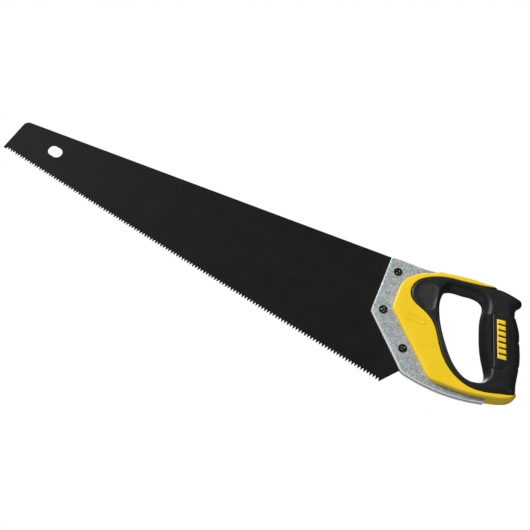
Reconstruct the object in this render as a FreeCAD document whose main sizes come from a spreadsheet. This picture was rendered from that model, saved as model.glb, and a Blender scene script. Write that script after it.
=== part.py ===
import FreeCAD, Part
import Sketcher
import math
import os

from FreeCAD import Placement, Rotation, Vector

# Hand saw for general carpentry: a 20 inch coated blade clamped between two
# cast aluminium cheeks, a yellow moulded handle on the cheeks and a black
# rubber grip moulded over the handle's loop.
#
# Frame: X runs along the tooth line from the toe to the handle, Z is up from
# the lowest tooth tips, Y is through the thickness and the blade lies at Y = 0.
# Outline points are written as (distance behind the first tooth, height).

doc = FreeCAD.newDocument("hand_saw")
sheet = doc.addObject("Spreadsheet::Sheet", "Dimensions")

DIMENSIONS = (
    ("centre_x", 313.36, "first tooth to the middle of the overall length"),
    ("blade_thick", 1.0, "coated spring steel"),
    ("tooth_count", 139, "seven teeth to the inch"),
    ("tooth_pitch", 25.4 / 7.0, "seven teeth to the inch"),
    ("tooth_depth", 3.8, "deep gullets"),
    ("tooth_flat", 0.3, "land at each tip"),
    ("tooth_breast", 1.9, "rise of the tooth line at both ends"),
    ("toe_x", -3.0, "toe edge in front of the first tooth"),
    ("toe_top", 45.0, "height of the toe"),
    ("toe_round", 6.0, "corner at the top of the toe"),
    ("back_angle", 10.91, "slope of the back to the tooth line"),
    ("hang_x", 51.3, "hang slot centre"),
    ("hang_z", 30.2, "hang slot centre"),
    ("hang_long", 18.0, "hang slot length"),
    ("hang_wide", 13.0, "hang slot width"),
    ("cheek_thick", 6.5, "each cheek"),
    ("cheek_round", 1.8, "cast edge"),
    ("fence_x", 458.1, "corner where the two fence edges meet"),
    ("fence_z", 63.6, "corner where the two fence edges meet"),
    ("fence_long", 65.0, "square fence edge"),
    ("mitre_long", 66.0, "mitre fence edge"),
    ("screw_top_x", 460.3, ""),
    ("screw_top_z", 116.6, ""),
    ("screw_mid_x", 468.9, ""),
    ("screw_mid_z", 70.5, ""),
    ("screw_low_x", 507.8, ""),
    ("screw_low_z", 44.3, ""),
    ("screw_hole", 3.0, "radius through the blade and cheeks"),
    ("bore_wide", 4.9, "radius of the counterbore"),
    ("bore_deep", 3.0, "counterbore depth"),
    ("cap_wide", 4.75, "radius of screw and nut heads"),
    ("cap_thick", 2.7, "thickness of screw and nut heads"),
    ("shank_wide", 1.7, "radius of the screw shank"),
    ("barrel_wide", 2.75, "radius of the nut barrel"),
    ("barrel_bore", 1.8, "radius of the nut bore"),
    ("cross_long", 5.4, "cross recess span"),
    ("cross_wide", 1.3, "cross recess width"),
    ("cross_deep", 1.5, "cross recess depth"),
    ("shell_half", 14.0, "half thickness of the yellow moulding"),
    ("shell_round", 1.8, "rounding of its edges"),
    ("top_round", 3.4, "height of the crown along its top edge"),
    ("top_deep", 8.0, "depth of that crown through the thickness"),
    ("rear_round", 4.2, "rounding at its rear end"),
    ("rear_deep", 9.0, "depth of that rounding through the thickness"),
    ("core_half", 7.0, "half thickness of the core under the rubber"),
    ("grip_half", 15.5, "half thickness of the rubber grip"),
    ("lining", 2.2, "rubber between the core and the hand hole"),
    ("dish_x", 501.0, "thumb rest centre"),
    ("dish_z", 108.5, "thumb rest centre"),
    ("dish_deep", 2.6, "thumb rest depth"),
    ("dish_wide", 12.5, "thumb rest radius"),
    ("pad_thick", 0.9, "moulded-in pads"),
    ("panel_seat", 1.0, "palm panel below the grip face"),
    ("panel_proud", 0.8, "palm panel above the grip face"),
    ("mark_proud", 0.4, "raised pattern on the palm panel"),
    ("badge_thick", 0.7, "blank plate"),
    ("badge_proud", 0.35, "blank plate above the handle face"),
)

for row, (alias, value, note) in enumerate(DIMENSIONS, start=1):
    sheet.set("A%d" % row, alias)
    sheet.set("B%d" % row, repr(value))
    sheet.set("C%d" % row, note)
    sheet.setAlias("B%d" % row, alias)
doc.recompute()


def dim(alias):
    """Value of one driving dimension."""
    return float(sheet.get(alias))


# ---------------------------------------------------------------- helpers

def flat(points, y=0.0):
    """Outline points (x, z) as vectors in the plane at depth y."""
    return [Vector(x, y, z) for x, z in points]


def closed_spline(points, y=0.0):
    """Smooth closed wire through the points."""
    curve = Part.BSplineCurve()
    curve.interpolate(Points=flat(points, y), PeriodicFlag=True)
    return Part.Wire([curve.toShape()])


def slab(wire, y_from, y_to):
    """Solid between two depths with the wire (at depth 0) as its outline."""
    face = Part.Face(wire)
    face.translate(Vector(0, y_from, 0))
    return face.extrude(Vector(0, y_to - y_from, 0))


def polygon(points):
    corners = flat(points)
    return Part.makePolygon(corners + corners[:1])


def normals(points):
    """Unit outward normal at each point of a clockwise outline."""
    result = []
    count = len(points)
    for i in range(count):
        ax, az = points[i - 1]
        bx, bz = points[(i + 1) % count]
        run = math.hypot(bx - ax, bz - az)
        result.append(((az - bz) / run, (bx - ax) / run))
    return result


def grow(points, amounts):
    """Outline moved outwards by one amount, or by an amount per point."""
    if not isinstance(amounts, (list, tuple)):
        amounts = [amounts] * len(points)
    moved = []
    for (x, z), (nx, nz), step in zip(points, normals(points), amounts):
        moved.append((x + nx * step, z + nz * step))
    return moved


def rounded_loft(middle, cap, half):
    """Solid whose section swells from the cap outline at both faces to the
    middle outline at depth 0 along a quarter ellipse."""
    wires = []
    for degrees in (-90, -70, -50, -28, 0, 28, 50, 70, 90):
        turn = math.radians(degrees)
        blend = 1.0 - math.cos(turn)
        level = []
        for (mx, mz), (cx, cz) in zip(middle, cap):
            level.append((mx + (cx - mx) * blend, mz + (cz - mz) * blend))
        wires.append(closed_spline(level, half * math.sin(turn)))
    return Part.makeLoft(wires, True, False)


def add_feature(name, shape):
    """Node whose shape is made by the functions above."""
    feature = doc.addObject("Part::Feature", name)
    feature.Label = name
    feature.Shape = shape
    feature.Placement = Placement(Vector(-dim("centre_x"), 0, 0), Rotation())
    return feature


def add_body(name):
    body = doc.addObject("PartDesign::Body", name)
    body.Label = name
    body.setExpression("Placement.Base.x", "-Dimensions.centre_x")
    return body


def origin_plane(body, role):
    for feature in body.Origin.OriginFeatures:
        if feature.Role == role:
            return feature
    raise ValueError("no plane " + role)


def side_sketch(body, name, depth=0.0):
    """Sketch in the blade's plane; its normal points to -Y and depth moves
    it that way."""
    sketch = body.newObject("Sketcher::SketchObject", name)
    sketch.AttachmentSupport = [(origin_plane(body, "XZ_Plane"), "")]
    sketch.MapMode = "FlatFace"
    sketch.AttachmentOffset = Placement(Vector(0, 0, depth), Rotation())
    return sketch


def add_lines(sketch, points, closed=True):
    ends = list(points)
    if closed:
        ends.append(points[0])
    segments = []
    for (ax, az), (bx, bz) in zip(ends[:-1], ends[1:]):
        segments.append(Part.LineSegment(Vector(ax, az, 0), Vector(bx, bz, 0)))
    sketch.addGeometry(segments, False)


def add_arc(sketch, start, through, end):
    points = [Vector(x, z, 0) for x, z in (start, through, end)]
    sketch.addGeometry(Part.Arc(*points), False)


def soften(points, radii):
    """Polygon with tangent arcs at its corners, as a list of point runs: two
    points are a line and three are an arc."""
    runs = []
    count = len(points)
    for i in range(count):
        corner = Vector(points[i][0], points[i][1], 0)
        back = Vector(points[i - 1][0], points[i - 1][1], 0) - corner
        ahead = Vector(points[(i + 1) % count][0], points[(i + 1) % count][1], 0) - corner
        back.normalize()
        ahead.normalize()
        half = back.getAngle(ahead) / 2.0
        reach = radii[i] / math.tan(half)
        middle = back + ahead
        middle.normalize()
        crown = corner + middle * (radii[i] / math.sin(half) - radii[i])
        start, stop = corner + back * reach, corner + ahead * reach
        runs.append([(start.x, start.y), (crown.x, crown.y), (stop.x, stop.y)])
    outline = []
    for i in range(count):
        outline.append(runs[i])
        outline.append([runs[i][-1], runs[(i + 1) % count][0]])
    return outline


def add_runs(sketch, runs):
    for run in runs:
        if len(run) == 3:
            add_arc(sketch, *run)
        else:
            add_lines(sketch, run, closed=False)


def runs_wire(runs):
    edges = []
    for run in runs:
        points = flat(run)
        if len(points) == 3:
            edges.append(Part.Arc(*points).toShape())
        else:
            edges.append(Part.makeLine(*points))
    return Part.Wire(edges)


def add_hole(sketch, x_alias, z_alias, radius_alias):
    """Circle whose centre and radius follow the sheet."""
    x, z, radius = dim(x_alias), dim(z_alias), dim(radius_alias)
    circle = Part.Circle(Vector(x, z, 0), Vector(0, 0, 1), radius)
    index = sketch.addGeometry(circle, False)
    rules = (
        (Sketcher.Constraint("Radius", index, radius), radius_alias),
        (Sketcher.Constraint("DistanceX", -1, 1, index, 3, x), x_alias),
        (Sketcher.Constraint("DistanceY", -1, 1, index, 3, z), z_alias),
    )
    for rule, alias in rules:
        number = sketch.addConstraint(rule)
        sketch.setExpression("Constraints[%d]" % number, "Dimensions." + alias)


def add_pad(body, name, sketch, length, reverse=False, both=False):
    pad = body.newObject("PartDesign::Pad", name)
    pad.Profile = sketch
    pad.setExpression("Length", length)
    if both:
        pad.SideType = "Symmetric"
    pad.Reversed = reverse
    return pad


def add_pocket(body, name, sketch, length, reverse=False, both=False):
    """Pocket that must remove material."""
    doc.recompute()
    before = body.Shape.Volume
    pocket = body.newObject("PartDesign::Pocket", name)
    pocket.Profile = sketch
    pocket.setExpression("Length", length)
    if both:
        pocket.SideType = "Symmetric"
    pocket.Reversed = reverse
    doc.recompute()
    if not body.Shape.Volume < before - 0.01:
        raise ValueError(name + " cuts nothing")
    return pocket


SCREWS = ("top", "mid", "low")

# ------------------------------------------------------------------ blade

PITCH = dim("tooth_pitch")
TOOTH_RUN = dim("tooth_count") * PITCH


def tip_height(x):
    """Height of the slightly breasted tooth line."""
    return dim("tooth_breast") * (2.0 * x / TOOTH_RUN - 1.0) ** 2


BACK = math.radians(dim("back_angle"))
SQUARE = Vector(-math.sin(BACK), math.cos(BACK), 0)
MITRE = Vector(math.cos(BACK - math.pi / 4), math.sin(BACK - math.pi / 4), 0)
FENCE = Vector(dim("fence_x"), dim("fence_z"), 0)
FENCE_TOP = FENCE + SQUARE * dim("fence_long")
MITRE_END = FENCE + MITRE * dim("mitre_long")

HEEL_FOOT = (TOOTH_RUN + 0.4, tip_height(TOOTH_RUN + 0.4))
HEEL_TOP = (518.2, 26.0)
# part of the blade that the cheeks hide
TANG = ((446.9, 123.6), (470.0, 126.5), (474.0, 105.0), (476.0, 84.0),
        (512.0, 56.5), (519.0, 44.0), HEEL_TOP)

blade = add_body("blade")
blank = side_sketch(blade, "blade_blank")
toe_x = dim("toe_x")
toe_top = dim("toe_top")
toe_round = dim("toe_round")
toe_foot = (toe_x, tip_height(toe_x))
toe_low = (toe_x, toe_top - toe_round * 1.2)
toe_high = (toe_x + toe_round * 1.15, toe_top)
back_rise = (445.4 - toe_high[0]) * math.tan(BACK)
back_end = (445.4, toe_high[1] + back_rise)
add_lines(blank, (toe_foot, toe_low), closed=False)
toe_mid = (toe_x + toe_round * 0.31, toe_top - toe_round * 0.36)
add_arc(blank, toe_low, toe_mid, toe_high)
add_lines(blank, (toe_high, back_end) + TANG + (HEEL_FOOT,), closed=False)
add_arc(blank, HEEL_FOOT, (TOOTH_RUN / 2, 0.0), toe_foot)
add_pad(blade, "blade_plate", blank, "Dimensions.blade_thick", both=True)

gullets = side_sketch(blade, "gullets")
half_gap = (PITCH - dim("tooth_flat")) / 2.0
for number in range(int(dim("tooth_count"))):
    middle = (number + 0.5) * PITCH
    left, right = middle - half_gap, middle + half_gap
    low = tip_height(middle)
    outline = (
        (left, low - 2.0),
        (left, tip_height(left)),
        (middle, low + dim("tooth_depth")),
        (right, tip_height(right)),
        (right, low - 2.0),
    )
    add_lines(gullets, outline)
add_pocket(blade, "teeth", gullets, "4 * Dimensions.blade_thick", both=True)

hang = side_sketch(blade, "hang_slot")
hang_x, hang_z = dim("hang_x"), dim("hang_z")
hang_r = dim("hang_wide") / 2.0
hang_s = (dim("hang_long") - dim("hang_wide")) / 2.0
add_lines(hang, ((hang_x - hang_s, hang_z + hang_r), (hang_x + hang_s, hang_z + hang_r)), False)
add_arc(hang, (hang_x + hang_s, hang_z + hang_r), (hang_x + hang_s + hang_r, hang_z),
        (hang_x + hang_s, hang_z - hang_r))
add_lines(hang, ((hang_x + hang_s, hang_z - hang_r), (hang_x - hang_s, hang_z - hang_r)), False)
add_arc(hang, (hang_x - hang_s, hang_z - hang_r), (hang_x - hang_s - hang_r, hang_z),
        (hang_x - hang_s, hang_z + hang_r))
add_pocket(blade, "hang_hole", hang, "4 * Dimensions.blade_thick", both=True)

holes = side_sketch(blade, "screw_circles")
for place in SCREWS:
    add_hole(holes, "screw_%s_x" % place, "screw_%s_z" % place, "screw_hole")
add_pocket(blade, "screw_holes", holes, "4 * Dimensions.blade_thick", both=True)

# ----------------------------------------------------------------- cheeks

# top edge, rear end of the bottom rail and the part inside the moulding
TOP_MID = (459.0, 130.7)
TOP_BEND = (474.0, 133.3)
TOP_RISE = (487.0, 136.3)
TOP_END = (499.0, 140.5)
INSIDE = ((502.5, 136.0), (487.0, 127.0), (479.5, 117.0), (476.8, 106.0),
          (478.0, 92.0), (481.0, 82.0), (490.0, 73.5), (515.0, 56.5),
          (547.0, 36.2), (556.0, 35.2), (580.0, 39.8), (598.0, 46.0))
RAIL_TOP = (603.5, 45.4)
RAIL_ROUND = (605.6, 42.0)
RAIL_END = (602.5, 39.0)
RAIL_MID = (566.0, 26.6)
RAIL_FOOT = (524.5, 22.6)
HEEL_BEND = (517.5, 23.6)


def cheek_outline(sketch):
    low = (MITRE_END.x, MITRE_END.y)
    high = (FENCE_TOP.x, FENCE_TOP.y)
    add_lines(sketch, (low, (FENCE.x, FENCE.y), high), closed=False)
    add_arc(sketch, high, TOP_MID, TOP_BEND)
    add_arc(sketch, TOP_BEND, TOP_RISE, TOP_END)
    add_lines(sketch, (TOP_END,) + INSIDE + (RAIL_TOP,), closed=False)
    add_arc(sketch, RAIL_TOP, RAIL_ROUND, RAIL_END)
    add_arc(sketch, RAIL_END, RAIL_MID, RAIL_FOOT)
    add_arc(sketch, RAIL_FOOT, HEEL_BEND, low)


def lies_at(edge, depth):
    """True for an edge whose ends and middle are at the depth."""
    first, last = edge.ParameterRange
    places = [edge.valueAt(first), edge.valueAt((first + last) / 2.0), edge.valueAt(last)]
    return all(abs(place.y - depth) < 0.001 for place in places)


def visible_edges(shape, depth):
    """Names of the outer face's edges along the fences and the bottom rail,
    without the top edge and those inside the moulding."""
    names = []
    for index, edge in enumerate(shape.Edges, start=1):
        if not lies_at(edge, depth) or len(edge.Vertexes) < 2:
            continue
        ends = [(v.X, v.Z) for v in edge.Vertexes]
        hidden = 1 if min(z for x, z in ends) > FENCE_TOP.y - 1.0 else 0
        for x, z in ends:
            for hx, hz in INSIDE:
                if math.hypot(x - hx, z - hz) < 0.5:
                    hidden += 1
        if hidden == 0:
            names.append("Edge%d" % index)
    return names


def make_cheek(name, left):
    body = add_body(name)
    thick = dim("cheek_thick")
    outline = side_sketch(body, name + "_outline")
    cheek_outline(outline)
    add_pad(body, name + "_plate", outline, "Dimensions.cheek_thick", reverse=not left)
    slot = side_sketch(body, name + "_slot")
    around = (back_end,) + TANG + (HEEL_FOOT, (430.0, 10.0), (430.0, back_end[1]))
    add_lines(slot, around)
    add_pocket(body, name + "_recess", slot, "Dimensions.blade_thick / 2", reverse=left)
    circles = side_sketch(body, name + "_circles")
    for place in SCREWS:
        add_hole(circles, "screw_%s_x" % place, "screw_%s_z" % place, "screw_hole")
    add_pocket(body, name + "_holes", circles, "2 * Dimensions.cheek_thick", reverse=left)
    bores = side_sketch(body, name + "_bores", thick if left else -thick)
    for place in SCREWS:
        add_hole(bores, "screw_%s_x" % place, "screw_%s_z" % place, "bore_wide")
    last = add_pocket(body, name + "_counterbores", bores, "Dimensions.bore_deep",
                      reverse=not left)
    soft = body.newObject("PartDesign::Fillet", name + "_cast_edge")
    soft.Base = (last, visible_edges(last.Shape, -thick if left else thick))
    soft.setExpression("Radius", "Dimensions.cheek_round")
    doc.recompute()
    shares = soft.Shape.Volume / last.Shape.Volume
    if not 0.97 < shares < 1.0:
        raise ValueError(name + " has a bad cast edge")
    return body


make_cheek("cheek_left", True)
make_cheek("cheek_right", False)

# -------------------------------------------------------------- fasteners


def add_part(kind, name, sizes, base=(0, 0, 0)):
    part = doc.addObject(kind, name)
    for key, rule in sizes.items():
        part.setExpression(key, rule)
    part.Placement = Placement(Vector(*base), Rotation())
    return part


def combine(kind, name, base, tool):
    result = doc.addObject(kind, name)
    result.Base = base
    result.Tool = tool
    return result


def seat(result, label, place, turn):
    """Put a fastener on its axis; turn sends its own Z outwards."""
    result.Label = label
    result.Placement = Placement(Vector(0, 0, 0), Rotation(Vector(1, 0, 0), turn))
    result.setExpression("Placement.Base.x",
                         "Dimensions.screw_%s_x - Dimensions.centre_x" % place)
    result.setExpression("Placement.Base.z", "Dimensions.screw_%s_z" % place)


UNDER_CAP = dim("cheek_thick") - dim("bore_deep")


def make_screw(place):
    name = "screw_" + place
    top = UNDER_CAP + dim("cap_thick")
    cap = add_part("Part::Cylinder", name + "_cap",
                   {"Radius": "Dimensions.cap_wide", "Height": "Dimensions.cap_thick"},
                   (0, 0, UNDER_CAP))
    shank = add_part("Part::Cylinder", name + "_shank",
                     {"Radius": "Dimensions.shank_wide",
                      "Height": "2 * (Dimensions.cheek_thick - Dimensions.bore_deep)"},
                     (0, 0, -UNDER_CAP))
    solid = combine("Part::Fuse", name + "_solid", cap, shank)
    reach = dim("cross_long") / 2.0
    width = dim("cross_wide") / 2.0
    floor = top - dim("cross_deep")
    bar = add_part("Part::Box", name + "_bar",
                   {"Length": "Dimensions.cross_long", "Width": "Dimensions.cross_wide",
                    "Height": "2 * Dimensions.cross_deep"}, (-reach, -width, floor))
    post = add_part("Part::Box", name + "_post",
                    {"Length": "Dimensions.cross_wide", "Width": "Dimensions.cross_long",
                     "Height": "2 * Dimensions.cross_deep"}, (-width, -reach, floor))
    cross = combine("Part::Fuse", name + "_cross", bar, post)
    screw = combine("Part::Cut", name + "_node", solid, cross)
    seat(screw, name, place, 90)
    return screw


def make_nut(place):
    name = "nut_" + place
    cap = add_part("Part::Cylinder", name + "_cap",
                   {"Radius": "Dimensions.cap_wide", "Height": "Dimensions.cap_thick"},
                   (0, 0, UNDER_CAP))
    barrel = add_part("Part::Cylinder", name + "_barrel",
                      {"Radius": "Dimensions.barrel_wide",
                       "Height": "2 * (Dimensions.cheek_thick - Dimensions.bore_deep) - 0.6"},
                      (0, 0, -UNDER_CAP + 0.6))
    solid = combine("Part::Fuse", name + "_solid", cap, barrel)
    bore = add_part("Part::Cylinder", name + "_bore",
                    {"Radius": "Dimensions.barrel_bore",
                     "Height": "2 * Dimensions.cheek_thick - 2 * Dimensions.bore_deep + 1.6"},
                    (0, 0, -UNDER_CAP - 0.4))
    nut = combine("Part::Cut", name + "_node", solid, bore)
    seat(nut, name, place, -90)
    return nut


fasteners = []
for place in SCREWS:
    fasteners.append(make_screw(place))
    fasteners.append(make_nut(place))
doc.recompute()

# ---------------------------------------------------- handle and its grip

# rubber grip: outline at mid thickness and its edge at the flat faces,
# clockwise from the thumb side
GRIP = (
    ((481.9, 108.6), (485.4, 108.2)), ((484.5, 118.4), (487.8, 116.8)),
    ((491.3, 126.3), (493.8, 123.6)), ((501.2, 133.6), (502.8, 130.4)),
    ((512.0, 138.6), (513.2, 135.4)), ((523.5, 142.3), (524.2, 139.2)),
    ((536.0, 146.6), (536.5, 143.0)), ((549.0, 151.6), (549.5, 147.4)),
    ((562.0, 157.8), (561.0, 150.6)), ((573.0, 160.4), (569.0, 150.5)),
    ((582.0, 160.9), (574.5, 149.0)), ((588.2, 159.5), (578.0, 147.0)),
    ((589.8, 156.2), (579.8, 144.0)), ((587.6, 151.2), (579.6, 140.5)),
    ((587.4, 145.8), (580.0, 136.6)), ((592.2, 138.4), (582.6, 131.0)),
    ((602.4, 126.2), (589.5, 119.6)), ((606.4, 118.8), (593.4, 112.4)),
    ((615.4, 102.2), (602.2, 96.6)), ((619.2, 92.4), (606.0, 88.6)),
    ((625.4, 72.6), (612.4, 71.4)), ((627.6, 63.0), (614.4, 64.4)),
    ((618.5, 56.2), (611.6, 58.2)), ((604.0, 48.9), (602.6, 52.6)),
    ((586.0, 43.6), (586.0, 47.2)), ((571.5, 44.6), (572.6, 48.0)),
    ((557.5, 49.8), (559.2, 52.8)), ((545.0, 58.4), (547.4, 60.8)),
    ((532.0, 72.4), (534.6, 74.6)), ((521.0, 83.4), (523.0, 86.4)),
    ((508.0, 89.6), (509.2, 92.9)), ((494.0, 92.8), (495.6, 96.0)),
    ((485.4, 98.2), (488.2, 100.4)),
)

# hand hole: outline at mid thickness and how far its edge flares
HOLE = (
    ((513.2, 121.0), 7.0), ((513.9, 127.2), 6.5), ((518.6, 131.4), 6.0),
    ((531.8, 135.5), 6.0), ((544.0, 138.7), 6.0), ((551.9, 137.0), 7.0),
    ((556.3, 131.0), 9.0), ((558.9, 122.0), 10.0), ((563.9, 110.0), 10.0),
    ((571.2, 96.4), 10.0), ((581.0, 81.8), 10.0), ((590.2, 70.8), 8.0),
    ((593.9, 64.2), 6.0), ((593.0, 57.6), 4.5), ((588.0, 53.5), 4.0),
    ((581.0, 51.3), 3.5), ((569.6, 53.2), 3.5), ((557.2, 60.0), 3.5),
    ((544.3, 71.2), 3.5), ((531.8, 84.4), 3.5), ((521.8, 98.2), 4.0),
    ((515.8, 110.0), 5.5),
)

# yellow moulding: border on the cheek, top strip, foot, then a closing run
# that lies under the rubber
SHELL = (
    (497.2, 138.8), (503.5, 142.1), (512.0, 145.6), (523.0, 149.3),
    (535.0, 152.8), (548.0, 155.6), (557.0, 157.2), (562.4, 155.4),
    (565.0, 149.0), (566.0, 120.0), (582.0, 80.0), (610.0, 68.0),
    (624.6, 66.6), (629.5, 63.6), (629.2, 60.0), (625.6, 55.8),
    (618.6, 51.3), (610.0, 46.9), (602.0, 43.4), (594.0, 40.1),
    (584.0, 36.8), (570.0, 33.4), (558.0, 31.0), (549.6, 29.8),
    (543.4, 31.4), (535.0, 36.8), (524.0, 44.0), (508.0, 54.6),
    (492.0, 65.2), (482.0, 72.0), (476.6, 76.4), (474.4, 82.0),
    (472.8, 90.0), (471.0, 100.0), (471.0, 106.6), (473.6, 115.0),
    (479.6, 123.2), (488.4, 130.6), (495.0, 135.4),
)

# stiff core of the loop, one with the yellow moulding
CORE = (
    (477.0, 104.0), (480.0, 119.0), (490.0, 129.0), (506.0, 138.5),
    (528.0, 146.5), (548.0, 153.6), (560.0, 154.0), (574.0, 152.0),
    (579.0, 144.0), (583.0, 134.0), (593.0, 117.0), (603.0, 98.0),
    (610.0, 80.0), (614.0, 64.0), (607.0, 49.0), (590.0, 41.6),
    (571.0, 41.4), (556.0, 47.0), (543.0, 56.4), (530.0, 70.0),
    (519.0, 80.4), (506.0, 85.6), (492.0, 88.6), (481.0, 94.0),
)

grip_middle = [middle for middle, cap in GRIP]
grip_cap = [cap for middle, cap in GRIP]
hole_middle = [middle for middle, flare in HOLE]
hole_flare = [flare for middle, flare in HOLE]


def hole_cutter(extra):
    """Hand hole with flared edges, widened all round by extra."""
    middle = grow(hole_middle, extra)
    cap = grow(middle, hole_flare)
    return rounded_loft(middle, cap, dim("grip_half") + 0.6)


def tang_prism():
    """Space that the two cheeks fill inside the moulding."""
    outline = [(FENCE.x, FENCE.y), (FENCE_TOP.x, FENCE_TOP.y)]
    outline += [TOP_MID, TOP_BEND, TOP_RISE, TOP_END]
    outline += list(INSIDE) + [RAIL_TOP, (604.9, 43.9), RAIL_ROUND, (604.9, 40.2)]
    outline += [RAIL_END, (566.0, 20.0), (500.0, 10.0)]
    half = dim("cheek_thick")
    return slab(polygon(outline), -half, half)


SHELL_HALF = dim("shell_half")
TOP_POINTS = range(0, 9)
REAR_POINTS = range(12, 15)


def shell_outline(depth):
    """The moulding's outline at a depth: its edges are rounded, most along
    the crowned top and at the rear end."""
    insets = []
    for number in range(len(SHELL)):
        inset = deep = dim("shell_round")
        if number in TOP_POINTS:
            inset, deep = dim("top_round"), dim("top_deep")
        elif number in REAR_POINTS:
            inset, deep = dim("rear_round"), dim("rear_deep")
        part = max(0.0, (abs(depth) - SHELL_HALF + deep) / deep)
        insets.append(-inset * (1.0 - math.sqrt(1.0 - min(1.0, part) ** 2)))
    return closed_spline(grow(SHELL, insets), depth)


shell_levels = [SHELL_HALF * share for share in
                (0.36, 0.46, 0.57, 0.68, 0.78, 0.87, 0.91, 0.945, 0.975, 0.993, 1.0)]
shell_wires = [shell_outline(-depth) for depth in reversed(shell_levels)]
shell_wires += [shell_outline(depth) for depth in shell_levels]
shell = Part.makeLoft(shell_wires, True, True)

full_depth = dim("grip_half") + 2.0
grip_prism = slab(closed_spline(grip_middle), -full_depth, full_depth)
core_half = dim("core_half")
core = slab(closed_spline(CORE), -core_half, core_half)
window = slab(closed_spline(grow(hole_middle, dim("lining"))), -core_half - 1, core_half + 1)
core = core.cut(window)

# blank plates and their seats
BADGE_LONG = 15.0
BADGE_WIDE = 7.0
BADGE_SLOPE = math.radians(12.0)
BADGE_AT = (503.2, 77.0)


def badge_points(spread):
    """Ends of the two straight sides and the crowns of the two round ends."""
    run = BADGE_LONG / 2.0
    rise = BADGE_WIDE / 2.0 + spread
    local = ((-run, rise), (run, rise), (run + rise, 0.0), (run, -rise),
             (-run, -rise), (-run - rise, 0.0))
    turned = []
    for u, v in local:
        x = BADGE_AT[0] + u * math.cos(BADGE_SLOPE) - v * math.sin(BADGE_SLOPE)
        z = BADGE_AT[1] + u * math.sin(BADGE_SLOPE) + v * math.cos(BADGE_SLOPE)
        turned.append((x, z))
    return turned


def badge_wire():
    a, b, c, d, e, f = flat(badge_points(0.0))
    return Part.Wire([Part.makeLine(a, b), Part.Arc(b, c, d).toShape(),
                      Part.makeLine(d, e), Part.Arc(e, f, a).toShape()])


badge_floor = SHELL_HALF - (dim("badge_thick") - dim("badge_proud"))
handle = shell.cut(grip_prism).fuse(core).cut(tang_prism())
handle = handle.cut(slab(badge_wire(), -SHELL_HALF - 1, -badge_floor))
handle = handle.cut(slab(badge_wire(), badge_floor, SHELL_HALF + 1))
add_feature("handle_body", handle.removeSplitter())

# grip: envelope, hand hole, room for the core, thumb rests and pads
GRIP_HALF = dim("grip_half")
envelope = rounded_loft(grip_middle, grip_cap, GRIP_HALF)
hole = hole_cutter(0.0)
wide_hole = hole_cutter(dim("pad_thick"))
core_room = slab(closed_spline(CORE), -core_half, core_half).cut(window)
grip = envelope.cut(hole).cut(core_room)

dish_rise = dim("dish_deep")
dish_span = dim("dish_wide")
dish_radius = (dish_span ** 2 + dish_rise ** 2) / (2.0 * dish_rise)
dish_depth = GRIP_HALF - dish_rise + dish_radius


def dish_ball(side, extra):
    centre = Vector(dim("dish_x"), side * dish_depth, dim("dish_z"))
    return Part.makeSphere(dish_radius + extra, centre)


for side, name in ((-1, "thumb_pad_left"), (1, "thumb_pad_right")):
    ball = dish_ball(side, dim("pad_thick"))
    pad = grip.common(ball).cut(dish_ball(side, 0.0))
    grip = grip.cut(ball)
    add_feature(name, pad)

# textured strip round the front of the grip and ribbed rim of the loop's
# front arc: both are layers on the hand hole's wall
GRIP_AXIS = Vector(0.4747, 0, -0.8801)
GRIP_OUT = Vector(0.8801, 0, 0.4747)
PANEL_HEAD = Vector(567.2, 0, 126.0)
PANEL_RUN = 60.5


def on_grip(along, across):
    """Point on the grip: distance down its axis and out to the palm."""
    point = PANEL_HEAD + GRIP_AXIS * along + GRIP_OUT * across
    return (point.x, point.z)


strip_area = (on_grip(2.0, -2.2), on_grip(PANEL_RUN - 1.0, -2.2),
              on_grip(PANEL_RUN + 3.0, -16.0), on_grip(0.0, -16.0))
strip_zone = slab(polygon(strip_area), -GRIP_HALF, GRIP_HALF)
finger_pad = grip.common(strip_zone).common(wide_hole)
grip = grip.cut(finger_pad)
add_feature("finger_pad", finger_pad)

rim_area = ((523.0, 97.0), (546.0, 100.0), (590.0, 60.0), (583.5, 45.0), (556.0, 50.0), (520.0, 80.0))
rim_zone = slab(polygon(rim_area), -GRIP_HALF, GRIP_HALF)
loop_rim = grip.common(rim_zone).common(wide_hole)
grip = grip.cut(loop_rim)
add_feature("loop_rim", loop_rim)

# palm panels: plates with curved ends, let into the flat of the grip
PANEL = soften(
    (on_grip(0.6, 0.6), on_grip(-3.6, 9.0), on_grip(2.0, 17.4), on_grip(28.0, 20.0),
     on_grip(54.0, 17.4), on_grip(61.0, 9.4), on_grip(59.6, 0.6)),
    (1.2, 9.0, 5.0, 60.0, 6.0, 7.0, 1.2))

panel_floor = GRIP_HALF - dim("panel_seat")
grip = grip.cut(slab(runs_wire(PANEL), -GRIP_HALF - 2, -panel_floor))
grip = grip.cut(slab(runs_wire(PANEL), panel_floor, GRIP_HALF + 2))
add_feature("grip_rubber", grip)


def face_edges(shape, depth):
    names = []
    for index, edge in enumerate(shape.Edges, start=1):
        if lies_at(edge, depth):
            names.append("Edge%d" % index)
    return names


def make_panel(name, side):
    """Palm panel; side is 1 towards -Y and -1 towards +Y."""
    body = add_body(name)
    sketch = side_sketch(body, name + "_outline", side * panel_floor)
    add_runs(sketch, PANEL)
    plate = add_pad(body, name + "_plate", sketch,
                    "Dimensions.panel_seat + Dimensions.panel_proud", reverse=side < 0)
    doc.recompute()
    top = -side * (GRIP_HALF + dim("panel_proud"))
    soft = body.newObject("PartDesign::Chamfer", name + "_edge")
    soft.Base = (plate, face_edges(plate.Shape, top))
    soft.setExpression("Size", "0.7 * Dimensions.panel_proud")
    doc.recompute()
    return body


MARK_BLOCKS = 7
MARK_STEP = 6.4
MARK_START = 6.0
MARK_SPINE = 4.6
MARK_INNER = 6.0
MARK_OUTER = 13.6
MARK_LEAN = 1.6
MARK_GAP = 2.0


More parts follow.
